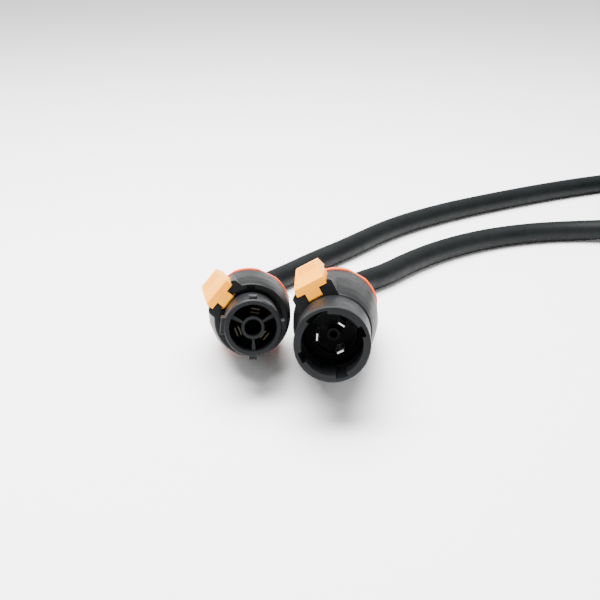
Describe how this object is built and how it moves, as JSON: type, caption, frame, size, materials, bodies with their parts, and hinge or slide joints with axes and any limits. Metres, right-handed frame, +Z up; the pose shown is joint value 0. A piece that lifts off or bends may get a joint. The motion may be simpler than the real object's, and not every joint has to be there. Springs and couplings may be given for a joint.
{
  "type": "three-pole cable connector pair",
  "caption": "Female and male bayonet-locking power cable connectors with sliding latches, on the two ends of one short round rubber lead.",
  "frame": {"origin": "centre of the two connectors' box, on the surface that they lie on", "axes": "+Z up, +Y along the connectors towards their cables, mating ends towards -Y, +X to the right seen from the mating ends"},
  "size_m": [0.2986, 0.2528, 0.0422],
  "materials": {
    "black_shell": "satin moulded polyamide",
    "black_insert": "satin moulded polyamide",
    "dark_carrier": "matte moulded polyamide",
    "black_bushing": "satin moulded polyamide",
    "grey_chuck": "moulded acetal",
    "black_rubber": "matte rubber",
    "cable_rubber": "matte extruded rubber",
    "orange_latch": "satin moulded acetal",
    "orange_collar": "satin moulded polyamide",
    "spring_steel": "drawn wire",
    "screw_steel": "zinc plated",
    "contact_brass": "silver plated copper alloy",
    "contact_silver": "silver plated copper alloy",
    "core_brown": "smooth insulation",
    "core_blue": "smooth insulation",
    "core_earth": "smooth insulation, green and yellow"
  },
  "bodies": {
    "root": {"female_cable_end": "cable_rubber", "female_carrier": "dark_carrier", "female_chuck": "grey_chuck", "female_core_blue": "core_blue", "female_core_brown": "core_brown", "female_core_earth": "core_earth", "female_gland": "black_rubber", "female_housing": "black_shell", "female_latch_spring": "spring_steel", "female_nose": "black_insert", "female_seal_ring": "black_rubber", "female_socket_earth": "contact_brass", "female_socket_line": "contact_brass", "female_socket_neutral": "contact_brass", "female_terminal_screws": "screw_steel", "lead_coil": "cable_rubber", "lead_female_stretch": "cable_rubber", "lead_male_stretch": "cable_rubber", "male_barrel": "black_insert", "male_blade_earth": "contact_silver", "male_blade_line": "contact_silver", "male_blade_neutral": "contact_silver", "male_cable_end": "cable_rubber", "male_carrier": "dark_carrier", "male_chuck": "grey_chuck", "male_core_blue": "core_blue", "male_core_brown": "core_brown", "male_core_earth": "core_earth", "male_gland": "black_rubber", "male_housing": "black_shell", "male_latch_spring": "spring_steel", "male_seal_ring": "black_rubber", "male_terminal_screws": "screw_steel"},
    "female_latch": {"female_latch": "orange_latch"},
    "female_collar": {"female_collar_ring": "orange_collar"},
    "female_bushing": {"female_bushing": "black_bushing"},
    "male_latch": {"male_latch": "orange_latch"},
    "male_collar": {"male_collar_ring": "orange_collar"},
    "male_bushing": {"male_bushing": "black_bushing"}
  },
  "joints": [
    {"name": "female_latch_slide", "type": "slide", "parent": "root", "child": "female_latch", "axis": [-0.0834, 0.9538, -0.2886], "range_m": [0, 0.0035], "stiffness_N_per_m": 400, "springref_m": -0.004, "deforming": ["female_latch_spring"]},
    {"name": "female_collar_slide", "type": "slide", "parent": "root", "child": "female_collar", "axis": [-0.0834, 0.9538, -0.2886], "range_m": [0, 0.0045]},
    {"name": "female_bushing_turn", "type": "hinge", "parent": "female_collar", "child": "female_bushing", "pos_m": [-0.01635, 0.03284, 0.01064], "axis": [-0.0834, 0.9538, -0.2886], "range_deg": [0, 1080]},
    {"name": "male_latch_slide", "type": "slide", "parent": "root", "child": "male_latch", "axis": [0.0642, 0.9673, -0.2454], "range_m": [0, 0.0035], "stiffness_N_per_m": 400, "springref_m": -0.004, "deforming": ["male_latch_spring"]},
    {"name": "male_collar_slide", "type": "slide", "parent": "root", "child": "male_collar", "axis": [0.0642, 0.9673, -0.2454], "range_m": [0, 0.0045]},
    {"name": "male_bushing_turn", "type": "hinge", "parent": "male_collar", "child": "male_bushing", "pos_m": [0.01831, 0.0358, 0.01078], "axis": [0.0642, 0.9673, -0.2454], "range_deg": [0, 1080]}
  ],
  "couplings": [
    {"joint": "female_bushing_turn", "follows": "female_collar_slide", "rad_per_m": 4188.8},
    {"joint": "male_bushing_turn", "follows": "male_collar_slide", "rad_per_m": 4188.8}
  ]
}
